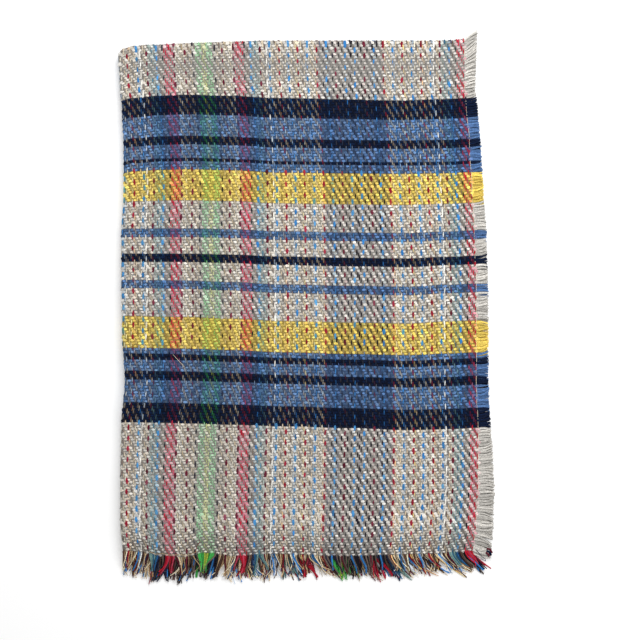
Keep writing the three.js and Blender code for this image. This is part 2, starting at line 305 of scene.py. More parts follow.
class FoldedThrow:
    """Where the points and the threads of the flat throw lie in the folded one."""

    def __init__(self, sizes):
        self.half_width = sizes.cloth_width / MM / 2
        self.half_length = sizes.cloth_length / MM / 2
        self.half_thickness = sizes.cloth_thickness / MM / 2
        step = (sizes.cloth_thickness + sizes.layer_gap) / MM
        self.side_radius = step / 2
        self.inner_radius = step / 2
        self.stack_middle = self.inner_radius + step + self.half_thickness
        self.side_reach = math.pi / 2 * self.side_radius
        self.top_reach = math.pi / 2 * (self.inner_radius + step)
        self.width = self.side_radius + self.half_thickness + self.half_width - self.side_reach
        self.length = self.stack_middle + self.half_length - self.top_reach
        self.ends = sizes.ends_per_half
        self.picks = sizes.picks_per_half
        self.end_pitch = self.half_width / self.ends
        self.pick_pitch = self.half_length / self.picks
        self.shift = np.zeros(3)
        self.shift = self.centring()

    def centring(self):
        """Moves the cloth to where the CAD cloth lies."""
        across, along = np.meshgrid(
            np.linspace(-self.half_width, self.half_width, 161),
            np.linspace(-self.half_length, self.half_length, 241),
        )
        points = np.vstack(
            [self.point(across.ravel(), along.ravel(), side * self.half_thickness) for side in (-1, 1)]
        )
        low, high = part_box("cloth")
        own_middle = (points.min(0) + points.max(0)) / 2
        cad_middle = (np.array(low) + np.array(high)) / 2
        return np.array([cad_middle[0] - own_middle[0], cad_middle[1] - own_middle[1], 0])

    def stack_height(self, x, y):
        """How high the stack is at a place, as a share of its plain height."""
        from_right = self.width - x
        rise, reach = SIDE_FOLD_FULLNESS
        side_fold = rise * (1 - soft_step(0, reach, x))
        rise, reach = TOP_FOLD_FULLNESS
        top_fold = rise * (1 - soft_step(0, reach, self.length - y))
        drop, reach = OPEN_EDGE_SAG
        sag = drop * (2 - soft_step(0, reach, y) - soft_step(0, reach, from_right))
        ripple = (
            RIPPLE["rise"]
            * np.sin(2 * math.pi * x / RIPPLE["across_wave"] + y / RIPPLE["along_wave"])
            * np.cos(2 * math.pi * y / RIPPLE["along_wave"])
        )
        drop, reach = END_FRINGE_DROOP
        end_droop = 1 - drop * soft_step(0, reach, -y)
        drop, reach = SIDE_FRINGE_DROOP
        side_droop = 1 - drop * soft_step(0, reach, -from_right)
        return (1 + side_fold + top_fold - sag + ripple) * end_droop * side_droop

    def point(self, across, along, out):
        """The folded places of points of the flat throw, in metres."""
        across, along, out = np.broadcast_arrays(across, along, np.asarray(out, float))
        turn = np.clip(across / self.side_radius, -math.pi / 2, math.pi / 2)
        spread = self.side_radius + out
        straight = np.maximum(np.abs(across) - self.side_reach, 0)
        x = self.side_radius + self.half_thickness + straight - spread * np.cos(turn)
        sheet_radius = self.inner_radius + self.side_radius * (1 - np.sin(turn))
        radius = self.inner_radius + self.side_radius - spread * np.sin(turn)
        turn = np.clip(along / sheet_radius, -math.pi / 2, math.pi / 2)
        straight = np.maximum(np.abs(along) - math.pi / 2 * sheet_radius, 0)
        y = self.length - self.stack_middle - straight + radius * np.cos(turn)
        z = self.stack_middle - radius * np.sin(turn)
        return self.drape(x, y, z)

    def drape(self, x, y, z):
        """Gives the straight folded stack its uneven edges, soft height and swept fringes."""
        past_edge = np.maximum(x - self.width, 0)
        past_hem = np.maximum(-y, 0)
        left = read_table(SIDE_EDGES, "up", "left", y)
        right = read_table(SIDE_EDGES, "up", "right", y)
        sweep = read_table(END_FRINGE_SWEEP, "right", "sweep", x) * past_hem / (past_hem + 8)
        foreshortened = past_hem / np.sqrt(1 + sweep**2)
        swept = x + sweep * foreshortened
        risen = y + past_hem - foreshortened + past_edge * read_table(SIDE_FRINGE, "up", "rise", y)
        placed = np.stack(
            [
                swept + left + (right - left) * np.clip(x / self.width, 0, 1),
                risen + self.weft_rise(x, y),
                z * self.stack_height(x, y),
            ],
            axis=-1,
        )
        return placed * MM + self.shift

    def weft_rise(self, x, y):
        """How far up the hem, the bowed weft or the top fold lies at a place."""
        heights = [up for up in WEFT_BOW if up != "right"]
        stations = np.array([0, *heights, self.length])
        rises = np.stack(
            [read_table(END_EDGES, "right", "hem", x)]
            + [read_table(WEFT_BOW, "right", up, x) for up in heights]
            + [read_table(END_EDGES, "right", "top", x)]
        )
        after = np.clip(np.searchsorted(stations, y), 1, len(stations) - 1)[None]
        below = np.take_along_axis(rises, after - 1, 0)[0]
        above = np.take_along_axis(rises, after, 0)[0]
        t = soft_step(stations[after[0] - 1], stations[after[0]], y)
        return below + (above - below) * t

    def across_of(self, ends, along):
        """Where an end lies at a place along it, counted in ends from the left fold line."""
        right = ends * self.end_pitch
        drift = read_table(FOLD_DRIFT, "up", "drift", self.half_length - np.abs(along))
        return -right - drift * read_table(DRIFT_SHARE, "right", "share", right)

    def along_of(self, picks):
        """Where a pick lies, counted in picks from the hem of the upper layers."""
        picks = np.asarray(picks, float)
        up = np.interp(np.minimum(picks, 2 * self.picks - picks), PICK_PLACES["pick"], PICK_PLACES["up"])
        return np.where(picks <= self.picks, up - self.half_length, self.half_length - up)

    def directions(self, across, along, out):
        """Unit vectors along the warp, along the weft and out of the cloth."""
        nudge = 0.2
        warp = self.point(across, along + nudge, out) - self.point(across, along - nudge, out)
        weft = self.point(across - nudge, along, out) - self.point(across + nudge, along, out)
        facing = np.cross(weft, warp)
        return [v / np.linalg.norm(v, axis=-1, keepdims=True) for v in (warp, weft, facing)]

    def warp_yarns(self, ends):
        """The yarn of each end, where end 0 is the first one right of the left fold line."""
        half_repeat = len(WARP_CHART) - 1
        from_dark = np.mod(np.asarray(ends) - FOLD_TO_DARK_STRIPE + half_repeat, 2 * half_repeat)
        return [WARP_CHART[step] for step in np.abs(from_dark - half_repeat)]

    def warp_colours(self, ends):
        return yarn_colours(self.warp_yarns(ends))

    def weft_yarns(self, picks):
        """The yarn of each pick, counted from either hem to the top fold."""
        chart = [yarn for yarn, count in WEFT_CHART for _ in range(count)]
        picks = np.asarray(picks)
        from_hem = np.minimum(np.clip(picks, 0, None), 2 * len(chart) - 1 - picks)
        return [chart[max(step, 0)] for step in from_hem]

    def weft_colours(self, picks):
        return yarn_colours(self.weft_yarns(picks))


def yarn_colours(names):
    """Linear colours of named yarns, as the sidebar has them."""
    yarns = bpy.context.scene.throw_yarns
    lookup = {name: list(getattr(yarns, name)) + [1.0] for name in set(names)}
    return np.array([lookup[name] for name in names])


def heathered(colours, rng, spread):
    """Colours with a slightly different lightness for each thread, as dyed wool has."""
    lightness = 1 + np.reshape(spread, (-1, 1)) * rng.standard_normal((len(colours), 1))
    varied = np.clip(colours * np.clip(lightness, 0.5, 1.5), 0, 1)
    varied[:, 3] = 1
    return varied


def add(tree, kind, inputs=None, **settings):
    """Adds a node with its settings, and links or sets its inputs. A node links its first output."""
    node = tree.nodes.new(kind)
    for name, value in settings.items():
        setattr(node, name, value)
    for name, value in (inputs or {}).items():
        if isinstance(value, bpy.types.Node):
            value = value.outputs[0]
        if isinstance(value, bpy.types.NodeSocket):
            tree.links.new(value, node.inputs[name])
        else:
            node.inputs[name].default_value = value
    return node


def new_material(name):
    """An empty node material and its tree."""
    material = bpy.data.materials.new(name)
    material.use_nodes = True
    material.node_tree.nodes.clear()
    return material, material.node_tree


def wool_shader(tree, colour, height, bump_distance):
    """Carded woollen yarn: matt, a little flecked, with a soft sheen from fibres that stand off it.

    The fleck is the mix of dyed fibres, at its real size. The fibres' bump is coarser than real
    wool, whose fibres of 0.03 mm wouldn't show at all.
    """
    place = add(tree, "ShaderNodeTexCoord").outputs["Object"]
    noise, fibres = (
        add(tree, "ShaderNodeTexNoise", {"Vector": place, "Scale": 1 / (size * MM), "Detail": 2.0})
        for size in (1.7, 0.5)
    )
    fleck = add(
        tree,
        "ShaderNodeMapRange",
        {"Value": noise, "From Min": 0.32, "From Max": 0.68, "To Min": 0.66, "To Max": 1.3},
    )
    shade = add(
        tree,
        "ShaderNodeMix",
        {0: 1.0, 6: colour, 7: fleck},
        data_type="RGBA",
        blend_type="MULTIPLY",
    )
    raised = add(tree, MATH, {0: fibres, 1: 0.35}, operation="MULTIPLY")
    surface = add(tree, MATH, {0: height, 1: raised}, operation="ADD")
    bump = add(tree, "ShaderNodeBump", {"Strength": 0.7, "Distance": bump_distance, "Height": surface})
    shader = add(
        tree,
        "ShaderNodeBsdfPrincipled",
        {
            "Base Color": shade.outputs[2],
            "Roughness": 0.92,
            "Specular IOR Level": 0.08,
            "Sheen Weight": 0.06,
            "Sheen Roughness": 0.5,
            "Normal": bump,
        },
    )
    add(tree, "ShaderNodeOutputMaterial", {"Surface": shader})


def yarn_material():
    """Woollen yarn, dyed in the fleece and spun thick, so each yarn is one soft, uneven colour."""
    material, tree = new_material("woollen_yarn")
    colour = add(tree, "ShaderNodeAttribute", attribute_name="yarn")
    wool_shader(tree, colour.outputs["Color"], 0.0, 0.3 * MM)
    return material


def twill_material():
    """Woven woollen twill, two over and two under, for the faces whose yarns aren't modelled.

    Each float is drawn as a crown in the bump, with painted shade that darkens its ends and the
    grooves around it, which gives the eye the twill's slanting ribs where only the sheet lies.
    """
    material, tree = new_material("woollen_twill")
    uv = add(tree, "ShaderNodeUVMap", uv_map="weave")
    split = add(tree, "ShaderNodeSeparateXYZ", {0: uv})
    end, pick = split.outputs[0], split.outputs[1]
    whole_end, whole_pick = (add(tree, MATH, {0: at}, operation="FLOOR") for at in (end, pick))
    end_part, pick_part = (add(tree, MATH, {0: at}, operation="FRACT") for at in (end, pick))
    sums = [
        add(tree, MATH, {0: first, 1: second}, operation="ADD")
        for first, second in ((whole_end, whole_pick), (pick, whole_end), (end, whole_pick))
    ]
    step, along_warp, along_weft = (
        add(tree, MATH, {0: total, 1: TWILL_REPEAT}, operation="FLOORED_MODULO") for total in sums
    )
    warp_over = add(tree, MATH, {0: step, 1: 1.5}, operation="LESS_THAN")

    def crown(position, middle, half_span):
        """1 on the middle of a yarn or float and 0 at its edges."""
        offset = add(tree, MATH, {0: position, 1: middle}, operation="SUBTRACT")
        share = add(tree, MATH, {0: offset, 1: half_span}, operation="DIVIDE")
        square = add(tree, MATH, {0: share, 1: share}, operation="MULTIPLY")
        return add(tree, MATH, {0: 1.0, 1: square}, operation="SUBTRACT")

    warp_crown, weft_crown = (
        add(tree, MATH, {0: crown(part, 0.5, 0.5), 1: crown(along, middle, 1.1)}, operation="MULTIPLY")
        for part, along, middle in ((end_part, along_warp, 1.0), (pick_part, along_weft, 3.0))
    )
    crowns = {0: warp_over, 2: weft_crown, 3: warp_crown}
    height = add(tree, "ShaderNodeMix", crowns, data_type="FLOAT")
    warp, weft = (add(tree, "ShaderNodeAttribute", attribute_name=name) for name in ("warp", "weft"))
    crowned = add(tree, MATH, {0: warp_over, 1: warp_crown}, operation="MULTIPLY")
    warp_share = add(tree, MATH, {0: crowned, 1: 0.75}, operation="MULTIPLY")
    colour = add(tree, "ShaderNodeMix", {0: warp_share, 6: weft, 7: warp}, data_type="RGBA")
    # Painted shade: darker from each crown down into the grooves, a little dark even on the crowns
    depth = add(tree, "ShaderNodeMapRange", {"Value": height, "To Min": 0.2, "To Max": 0.85})
    painted_shade_colour = add(
        tree,
        "ShaderNodeMix",
        {0: 1.0, 6: colour.outputs[2], 7: depth},
        data_type="RGBA",
        blend_type="MULTIPLY",
    )
    wool_shader(tree, painted_shade_colour.outputs[2], height, 0.9 * MM)
    return material


def floor_material():
    """White opal table lit from below, which keeps the ground white right up to the throw."""
    material, tree = new_material("white_opal_table")
    grain = add(tree, "ShaderNodeTexNoise", {"Scale": 900.0, "Detail": 2.0})
    bump = add(
        tree,
        "ShaderNodeBump",
        {"Strength": 0.04, "Distance": 0.1 * MM, "Height": grain},
    )
    shader = add(
        tree,
        "ShaderNodeBsdfPrincipled",
        {
            "Base Color": linear("fafafa"),
            "Roughness": 0.9,
            "Emission Color": linear("ffffff"),
            "Emission Strength": 0.14,
            "Normal": bump,
        },
    )
    add(tree, "ShaderNodeOutputMaterial", {"Surface": shader})
    return material


def shared_material(name, build):
    """A material that several pieces use, built once."""
    return bpy.data.materials.get(name) or build()


def new_tree(name, sockets):
    """A Geometry Nodes tree with the given inputs and one geometry output."""
    tree = bpy.data.node_groups.new(name, "GeometryNodeTree")
    tree.interface.new_socket("Geometry", in_out="INPUT", socket_type="NodeSocketGeometry")
    for socket_name, socket_type in sockets:
        tree.interface.new_socket(socket_name, in_out="INPUT", socket_type=socket_type)
    tree.interface.new_socket("Geometry", in_out="OUTPUT", socket_type="NodeSocketGeometry")
    group_input = tree.nodes.new("NodeGroupInput").outputs
    return tree, group_input


def finish_tree(tree, geometry, material):
    """Ends a tree in real, smooth mesh with its material."""
    real = add(tree, "GeometryNodeRealizeInstances", {"Geometry": geometry})
    smooth = add(tree, "GeometryNodeSetShadeSmooth", {"Geometry": real.outputs[0]})
    dressed = add(
        tree, "GeometryNodeSetMaterial", {"Geometry": smooth.outputs[0], "Material": material}
    )
    output = tree.nodes.new("NodeGroupOutput")
    tree.links.new(dressed.outputs[0], output.inputs[0])


def float_tree():
    """Lays one crowned yarn float on each point, turned by the point's own directions."""
    name = "yarn_floats"
    if name in bpy.data.node_groups:
        return bpy.data.node_groups[name]
    measures = [(key, "NodeSocketFloat") for key in ("Width", "Length", "Rise", "Dip", "Taper")]
    tree, given = new_tree(name, [*measures, ("Material", "NodeSocketMaterial")])
    grid = add(
        tree,
        "GeometryNodeMeshGrid",
        {"Size X": given["Width"], "Size Y": given["Length"], "Vertices X": 3, "Vertices Y": 5},
    )
    place = add(tree, "GeometryNodeInputPosition")
    split = add(tree, "ShaderNodeSeparateXYZ", {0: place.outputs[0]})

    def crown(position, size):
        """1 on the middle of the float and 0 at its edges."""
        doubled = add(tree, MATH, {0: position, 1: 2.0}, operation="MULTIPLY")
        share = add(tree, MATH, {0: doubled, 1: size}, operation="DIVIDE")
        square = add(tree, MATH, {0: share, 1: share}, operation="MULTIPLY")
        return add(tree, MATH, {0: 1.0, 1: square}, operation="SUBTRACT")

    across, along = split.outputs[0], split.outputs[1]
    crowns = {0: crown(across, given["Width"]), 1: crown(along, given["Length"])}
    full = add(tree, MATH, crowns, operation="MULTIPLY")
    reach = add(tree, MATH, {0: given["Rise"], 1: given["Dip"]}, operation="ADD")
    rise = add(tree, MATH, {0: full, 1: reach}, operation="MULTIPLY")
    height = add(tree, MATH, {0: rise, 1: given["Dip"]}, operation="SUBTRACT")
    drawn_in = add(tree, MATH, {0: crowns[1], 1: 1.0}, operation="SUBTRACT")
    moved_in = add(tree, MATH, {0: across, 1: drawn_in}, operation="MULTIPLY")
    narrowed = add(tree, MATH, {0: moved_in, 1: given["Taper"]}, operation="MULTIPLY")
    offset = add(tree, "ShaderNodeCombineXYZ", {0: narrowed, 2: height})
    shaped = add(
        tree, "GeometryNodeSetPosition", {"Geometry": grid.outputs[0], "Offset": offset.outputs[0]}
    )
    facing, running, girth = (
        add(tree, "GeometryNodeInputNamedAttribute", {"Name": key}, data_type="FLOAT_VECTOR")
        for key in ("facing", "running", "girth")
    )
    upright = add(tree, "FunctionNodeAlignRotationToVector", {"Vector": facing}, axis="Z")
    turned = add(
        tree,
        "FunctionNodeAlignRotationToVector",
        {"Rotation": upright.outputs[0], "Vector": running},
        axis="Y",
        pivot_axis="Z",
    )
    scale = add(
        tree,
        "FunctionNodeRandomValue",
        {0: FLOAT_SIZES[0], 1: FLOAT_SIZES[1], "Seed": 7},
        data_type="FLOAT_VECTOR",
    )
    size = add(tree, "ShaderNodeVectorMath", {0: scale.outputs[0], 1: girth}, operation="MULTIPLY")
    floats = add(
        tree,
        "GeometryNodeInstanceOnPoints",
        {
            "Points": given["Geometry"],
            "Instance": shaped.outputs[0],
            "Rotation": turned.outputs[0],
            "Scale": size.outputs[0],
        },
    )
    finish_tree(tree, floats.outputs[0], given["Material"])
    return tree


def strand_tree():
    """Turns lines into yarns whose radius is the points' own thickness."""
    name = "yarn_strands"
    if name in bpy.data.node_groups:
        return bpy.data.node_groups[name]
    tree, given = new_tree(name, [("Sides", "NodeSocketInt"), ("Material", "NodeSocketMaterial")])
    curve = add(tree, "GeometryNodeMeshToCurve", {"Mesh": given["Geometry"]})
    section = add(
        tree, "GeometryNodeCurvePrimitiveCircle", {"Resolution": given["Sides"], "Radius": 1.0}
    )
    thickness = add(
        tree, "GeometryNodeInputNamedAttribute", {"Name": "thickness"}, data_type="FLOAT"
    )
    tube = add(
        tree,
        "GeometryNodeCurveToMesh",
        {
            "Curve": curve.outputs[0],
            "Profile Curve": section.outputs[0],
            "Scale": thickness,
            "Fill Caps": True,
        },
    )
    finish_tree(tree, tube.outputs[0], given["Material"])
    return tree


def link_new(name, mesh):
    """A new object in the scene's own collection."""
    piece = bpy.data.objects.new(name, mesh)
    bpy.context.scene.collection.objects.link(piece)
    return piece


def grown(name, mesh, tree, inputs):
    """Runs a tree on a mesh and keeps the result as a plain mesh object."""
    source = link_new(f"{name}_points", mesh)
    modifier = source.modifiers.new(tree.name, "NODES")
    modifier.node_group = tree
    for item in tree.interface.items_tree:
        if item.in_out == "INPUT" and item.name in inputs:
            modifier[item.identifier] = inputs[item.name]
    evaluated = source.evaluated_get(bpy.context.evaluated_depsgraph_get())
    plain = bpy.data.meshes.new_from_object(evaluated)
    bpy.data.objects.remove(source)
    plain.name = name
    return link_new(name, plain)


def store(mesh, name, kind, domain, values):
    """Stores one value for each element of a mesh under an attribute's name."""
    attribute = mesh.attributes.new(name, kind, domain)
    field = {"FLOAT": "value", "FLOAT_VECTOR": "vector", "FLOAT_COLOR": "color"}[kind]
    attribute.data.foreach_set(field, np.ascontiguousarray(values, np.float32).ravel())


def floats_piece(name, places, running, facing, colours, girth, size, pitches):
    """One piece of yarn floats, each lying on its own point. pitches is in millimetres."""
    mesh = bpy.data.meshes.new(f"{name}_points")
    mesh.vertices.add(len(places))
    mesh.vertices.foreach_set("co", places.astype(np.float32).ravel())
    store(mesh, "running", "FLOAT_VECTOR", "POINT", running)
    store(mesh, "facing", "FLOAT_VECTOR", "POINT", facing)
    store(mesh, "girth", "FLOAT_VECTOR", "POINT", girth)
    store(mesh, "yarn", "FLOAT_COLOR", "POINT", colours)
    inputs = {
        "Width": size["width"] * pitches[0] * MM,
        "Length": size["length"] * pitches[1] * MM,
        "Rise": size["rise"] * MM,
        "Dip": size["dip"] * MM,
        "Taper": FLOAT_TAPER,
        "Material": shared_material("woollen_yarn", yarn_material),
    }
    return grown(name, mesh, float_tree(), inputs)


def strands_piece(name, lines, radii, colours):
    """One piece of loose yarns. lines is (yarns, points, 3) in metres, radii is in millimetres."""
    yarns, steps, _ = lines.shape
    mesh = bpy.data.meshes.new(f"{name}_points")
    first = (np.arange(yarns)[:, None] * steps + np.arange(steps - 1)).ravel()
    edges = np.stack([first, first + 1], axis=1)
    mesh.from_pydata(lines.reshape(-1, 3).tolist(), edges.tolist(), [])
    store(mesh, "thickness", "FLOAT", "POINT", radii * MM)
    store(mesh, "yarn", "FLOAT_COLOR", "POINT", np.repeat(colours, steps, axis=0))
    inputs = {"Sides": STRAND_SIDES, "Material": shared_material("woollen_yarn", yarn_material)}
    return grown(name, mesh, strand_tree(), inputs)


def mounted(piece, material_slot, *nodes):
    """Lets a finished piece ride on the throw and stand for the CAD nodes it replaces."""
    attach(piece, "root")
    if nodes:
        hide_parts(*nodes)
    return piece


def sheet_mesh(throw, inset):
    """The folded sheet as one closed body, with its thread numbers as its own coordinates."""
    round_side_fold = np.arange(-5.5, 2, 0.25)
    round_top_fold = throw.picks + np.arange(-2.8, 3, 0.4)
    upper_picks = np.union1d(
        np.cumsum([0] + [count for _, count in WEFT_CHART[:-1]]), np.arange(0, throw.picks - 4, 10)
    )
    ends = np.union1d(np.arange(-throw.ends, throw.ends + 1), -round_side_fold)
    picks = np.union1d(np.concatenate([upper_picks, 2 * throw.picks - upper_picks]), round_top_fold)
    grid_ends, grid_picks = every_pair(ends, picks)
    grid_along = throw.along_of(grid_picks)
    grid_across = throw.across_of(grid_ends, grid_along)
    faces_out = throw.half_thickness - inset
    points = np.stack(
        [throw.point(grid_across, grid_along, side * faces_out) for side in (-1, 1)], axis=1
    ).reshape(-1, 3)
    columns, rows = len(ends), len(picks)

    def corner(i, j, side):
        return (i * rows + j) * 2 + side

    i, j = every_pair(np.arange(columns - 1), np.arange(rows - 1))
    around = [corner(i, j, 1), corner(i, j + 1, 1), corner(i + 1, j + 1, 1), corner(i + 1, j, 1)]
    outer = np.stack(around[::-1], axis=1)
    inner = np.stack([index - 1 for index in around], axis=1)
    i, j = np.arange(columns - 1), np.arange(rows - 1)
    walls = []
    for row, flip in ((0, -1), (rows - 1, 1)):
        wall = [corner(i, row, 0), corner(i, row, 1), corner(i + 1, row, 1), corner(i + 1, row, 0)]
        walls.append(np.stack(wall[::flip], axis=1))
    for column, flip in ((0, 1), (columns - 1, -1)):
        wall = [corner(column, j + step, side) for step, side in ((0, 0), (0, 1), (1, 1), (1, 0))]
        walls.append(np.stack(wall[::flip], axis=1))
    quads = np.vstack([outer, inner, *walls])
    mesh = bpy.data.meshes.new("woven_sheet")
    mesh.from_pydata(points.tolist(), [], quads.tolist())
    ends, picks = grid_ends.repeat(2), grid_picks.repeat(2)
    uv = mesh.uv_layers.new(name="weave")
    uv.data.foreach_set("uv", np.stack([ends[quads], picks[quads]], axis=-1).astype(np.float32).ravel())
    face_ends = np.floor(ends[quads].mean(1)).astype(int)
    face_picks = np.clip(np.floor(picks[quads].mean(1)).astype(int), 0, 2 * throw.picks - 1)
    store(mesh, "warp", "FLOAT_COLOR", "FACE", throw.warp_colours(face_ends))
    store(mesh, "weft", "FLOAT_COLOR", "FACE", throw.weft_colours(face_picks))
    mesh.shade_smooth()
    return mesh


def weave_places(throw, first_step):
    """Ends and picks where a float starts: a warp float at step 0 and a weft float at step 2."""
    around_fold = -7
    ends, picks = every_pair(np.arange(around_fold, throw.ends), np.arange(throw.picks))
    starts = np.mod(ends + picks, TWILL_REPEAT) == first_step
    return ends[starts], picks[starts]


def surface_floats(throw, rng, ends, picks, depth):
    """Places and directions of floats on the outer face of the top layer, none quite in line."""
    count = len(ends)
    along = throw.along_of(picks) + FLOAT_SCATTER["along"] * rng.standard_normal(count)
    across = throw.across_of(ends, along) + FLOAT_SCATTER["across"] * rng.standard_normal(count)
    out = throw.half_thickness - depth + FLOAT_SCATTER["out"] * rng.standard_normal(count)
    return throw.point(across, along, out), throw.directions(across, along, out)


def leant(running, aside, rng, spread):
    """Directions turned a little towards one side or the other."""
    lean = running + aside * spread * rng.standard_normal((len(running), 1))
    return lean / np.linalg.norm(lean, axis=1, keepdims=True)


def blended(own, other, share):
    """Colours of yarns seen through a share of the other yarns' fibres, which lie over them."""
    share = np.reshape(share, (-1, 1))
    return own ** (1 - share) * other**share


def length_property(name, description, default):
    """A length in metres that the sidebar shows in the scene's unit."""
    return bpy.props.FloatProperty(
        name=name, description=description, default=default, min=0, unit="LENGTH"
    )


class ThrowSizes(bpy.types.PropertyGroup):
    """Sizes of the throw that a user would change."""

    cloth_width: length_property("Cloth width", "Selvedge to selvedge, flat", 1.122)
    cloth_length: length_property("Cloth length", "Hem to hem, flat", 1.640)
    cloth_thickness: length_property("Cloth thickness", "Thickness of one layer", 0.003)
    layer_gap: length_property("Layer gap", "Space between two layers", 0.0012)
    ends_per_half: bpy.props.IntProperty(
        name="Ends", description="Warp ends from the left fold line to a selvedge", default=217
    )
    picks_per_half: bpy.props.IntProperty(
        name="Picks", description="Weft picks from the top fold line to a hem", default=186
    )
    fringe_length: length_property("Fringe length", "Warp ends past the hem", 0.030)
    side_fringe_length: length_property("Side fringe length", "Weft ends past the selvedge", 0.019)


class ThrowYarns(bpy.types.PropertyGroup):
    """Colours of the throw's yarns."""

    __annotations__ = {
        name: bpy.props.FloatVectorProperty(
            name=name.replace("_", " ").capitalize(),
            description=f"Colour of the {name.replace('_', ' ')} yarn",
            subtype="COLOR",
            min=0,
            max=1,
            default=linear(value)[:3],
        )
        for name, value in YARNS.items()
    }


def add_warp_floats(throw, rng):
    """Each warp float of the top layer, with the weft's nap over it."""
    ends, picks = weave_places(throw, 0)
    yarns = np.array(throw.warp_yarns(ends))
    smooth = np.isin(yarns, SMOOTH_YARNS)
    dark_pick = np.isin(throw.weft_yarns(picks), list(NAP_OF))
    bold = np.isin(yarns, BOLD_YARNS)
    depth = np.select(
        [smooth & ~dark_pick, bold & ~dark_pick],
        [WARP_FLOAT_DEPTH["smooth"], WARP_FLOAT_DEPTH["bold"]],
        WARP_FLOAT_DEPTH["other"],
    )
    places, (warp, weft, facing) = surface_floats(throw, rng, ends + 0.5, picks + 1, depth)
    nap = np.array([NAP_OVER.get(yarn, NAP) for yarn in yarns])
    nap = nap * read_table(NAP_PLACES, "right", "share", ends * throw.end_pitch)
    felted = np.array([NAP_OF.get(yarn, 0) for yarn in throw.weft_yarns(picks)])
    nap = nap + felted * np.where(smooth, NAP_OF_ON_SMOOTH, 1)
    nap = np.clip(nap + NAP_SPREAD * rng.standard_normal(len(ends)), *NAP_RANGE)
    colours = blended(yarn_colours(yarns), throw.weft_colours(picks), nap)
    girth = np.ones((len(ends), 3))
    girth[:, 0] = np.select(
        [yarns == "white", smooth & ~dark_pick, bold],
        [WARP_FLOAT_GIRTH[kind] for kind in ("white", "smooth", "bold")],
        WARP_FLOAT_GIRTH["other"],
    )
    girth[:, 1] = np.where(yarns == "white", WHITE_FLOAT_STRETCH, 1)
    girth[:, 2] = np.where(smooth, SMOOTH_FLOAT_SWELL, 1)
    running = leant(warp, weft, rng, WARP_LEAN)
    colours = heathered(colours, rng, WARP_HEATHER)
    pitches = (throw.end_pitch, throw.pick_pitch)
    floats = floats_piece("warp_floats", places, running, facing, colours, girth, WARP_FLOAT, pitches)
    return mounted(floats, "wool_cloth")


def add_weft_floats(throw, rng):
    """Each weft float of the top layer, tinted by the warp that it crosses."""
    ends, picks = weave_places(throw, 2)
    places, (warp, weft, facing) = surface_floats(throw, rng, ends + 1, picks + 0.5, WEFT_FLOAT_DEPTH)
    in_stripe = np.isin(throw.warp_yarns(ends), STRIPE_YARNS)
    # The place's tint is strongest near the left fold, which makes the cloth darker towards the left
    tint = read_table(NAP_PLACES, "right", "tint", ends * throw.end_pitch)
    tint = tint + STRIPE_TINT * in_stripe + TINT_SPREAD * rng.standard_normal(len(ends))
    tint = np.clip(tint, *TINT_RANGE)
    yarns = np.array(throw.weft_yarns(picks))
    tint = np.where(yarns == "navy", TINT_ON_NAVY * tint, tint)
    under = (throw.warp_colours(ends) + throw.warp_colours(ends + 1)) / 2
    colours = blended(yarn_colours(yarns), under, tint)
    running = leant(weft, warp, rng, WEFT_LEAN)
    heather = np.where(yarns == "denim", DENIM_HEATHER, WEFT_HEATHER)
    colours = heathered(colours, rng, heather)
    girth = np.ones((len(ends), 3))
    pitches = (throw.pick_pitch, throw.end_pitch)
    floats = floats_piece("weft_floats", places, running, facing, colours, girth, WEFT_FLOAT, pitches)
    return mounted(floats, "wool_cloth")


class THROW_OT_cloth(bpy.types.Operator):
    """Weave the folded sheet, with its own warp and weft floats on the top layer"""

    bl_idname = "throw.cloth"
    bl_label = "Cloth"

    def execute(self, context):
        sizes = context.scene.throw_sizes
        throw = FoldedThrow(sizes)
        sheet = link_new("woven_sheet", sheet_mesh(throw, inset=0.3))
        sheet.data.materials.append(twill_material())
        mounted(sheet, "wool_cloth", "cloth")
        rng = np.random.default_rng(11)
        add_warp_floats(throw, rng)
        add_weft_floats(throw, rng)
        return {"FINISHED"}


def fringe_lines(rng, beside, length, locks, bend, drawn_in, lean, unevenness):
    """Loose yarns past an edge, in locks: beside, beyond and out for each of their points."""
    yarns = len(beside)
    steps = np.linspace(0, 1, FRINGE_POINTS)
    lock_count = locks[-1] + 1
    lock_sizes = np.maximum(np.bincount(locks, minlength=lock_count), 1)
    lock_middle = np.bincount(locks, beside, lock_count) / lock_sizes
    lock_lean = lean * rng.standard_normal(lock_count)
    lock_length = 1 + unevenness * rng.standard_normal(lock_count)
    lengths = length * lock_length[locks] * (1 + 0.7 * unevenness * rng.standard_normal(yarns))
    own_lean = lock_lean[locks] + 0.35 * lean * rng.standard_normal(yarns)
    own_bend = 1.2 * lean * rng.standard_normal(lock_count)[locks] + bend
    pull = drawn_in * (0.6 + 0.6 * rng.random(yarns))
    beyond = -1.5 + steps * (lengths[:, None] + 1.5)
    reach = np.clip(beyond, 0, None)
    aside = (
        beside[:, None]
        + ((lock_middle[locks] - beside) * pull)[:, None] * soft_step(0, 0.8, steps)
        + own_lean[:, None] * reach
        + own_bend[:, None] * reach * (steps - 0.6)
    )
    lift = 0.5 * rng.standard_normal((yarns, 1)) + 0.3 * rng.standard_normal((yarns, FRINGE_POINTS))
    return aside, beyond, np.clip(lift * steps, -1, 1)


def tapered(rng, root, tip):
    """Radii of loose yarns that grow thin towards their tips."""
    steps = np.linspace(0, 1, FRINGE_POINTS)
    size = 1 + 0.14 * rng.standard_normal((len(root), 1))
    return size * (root[:, None] + (tip - root)[:, None] * steps**2)


def lifted(points, radii):
    """Keeps yarns above the surface that the throw lies on."""
    points[..., 2] = np.maximum(points[..., 2], radii * MM)
    return points


